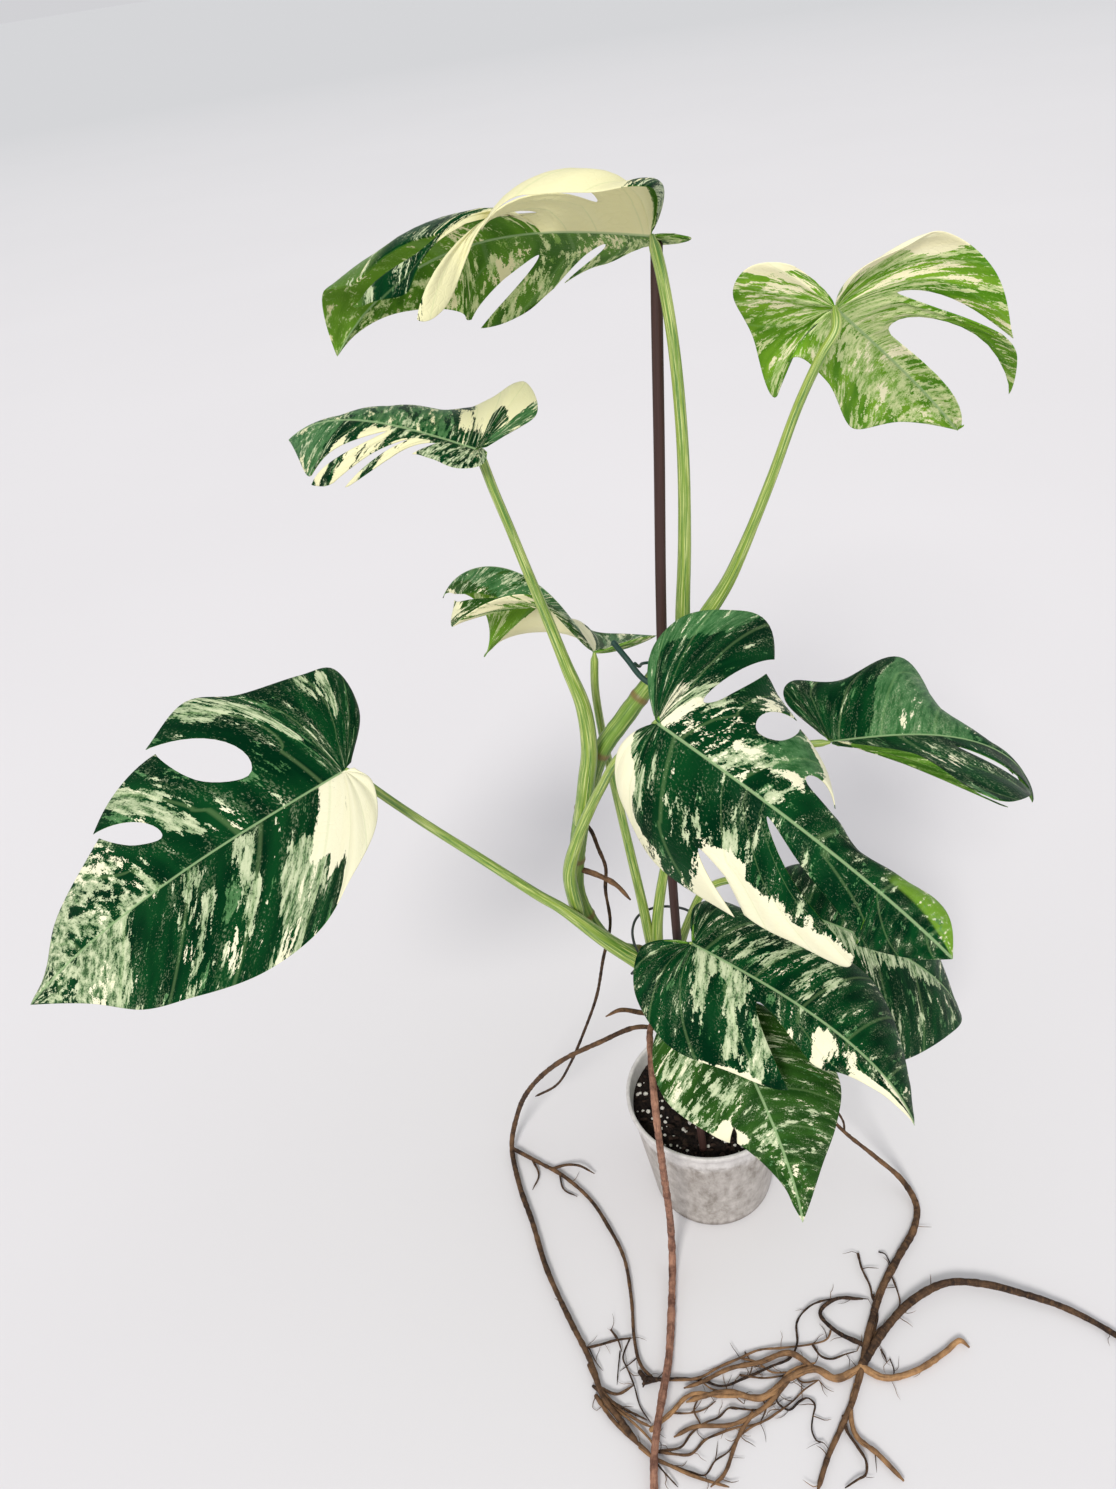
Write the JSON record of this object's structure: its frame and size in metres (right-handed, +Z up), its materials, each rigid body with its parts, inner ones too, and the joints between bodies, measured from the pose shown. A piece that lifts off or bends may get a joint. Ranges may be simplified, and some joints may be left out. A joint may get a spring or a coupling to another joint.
{
  "type": "potted variegated monstera",
  "caption": "Potted climbing aroid with cream-marbled split leaves on long stalks, tied to a slim stake, with trailing aerial roots and a small clear pot.",
  "frame": {"origin": "centre of the pot's underside, on the surface it stands on", "axes": "+Z up, +Y away from the viewer of the picture, +X to the viewer's right"},
  "size_m": [0.6307, 0.3311, 0.7339],
  "materials": {
    "pot": "frosted, slightly clouded by what is inside",
    "soil": "rough, dark and matt with pale grit",
    "stake": "satin dark brown coating",
    "stem": "satin green with brown node rings",
    "petiole": "satin yellow-green with pale streaks",
    "leaf": "semi-gloss dark green with cream marbling",
    "root": "matt brown, fine wrinkles",
    "tie": "matt dark green",
    "wire": "satin black coating"
  },
  "bodies": {
    "root": {"pot": "pot", "soil": "soil", "stake": "stake", "main_stem": "stem", "petiole_low_left": "petiole", "petiole_middle_front": "petiole", "petiole_middle_right": "petiole", "petiole_top_right": "petiole", "petiole_top_left": "petiole", "petiole_upper_left": "petiole", "petiole_small_left": "petiole", "petiole_low_front": "petiole", "petiole_low_right": "petiole", "petiole_lowest": "petiole", "leaf_low_left": "leaf", "leaf_middle_front": "leaf", "leaf_middle_right": "leaf", "leaf_top_right": "leaf", "leaf_top_left": "leaf", "leaf_upper_left": "leaf", "leaf_small_left": "leaf", "leaf_low_front": "leaf", "leaf_low_right": "leaf", "leaf_lowest": "leaf", "root_front": "root", "root_left": "root", "root_right": "root", "root_thin": "root", "root_short": "root", "root_stub": "root", "tie_upper": "tie", "tie_lower": "wire"}
  },
  "joints": []
}
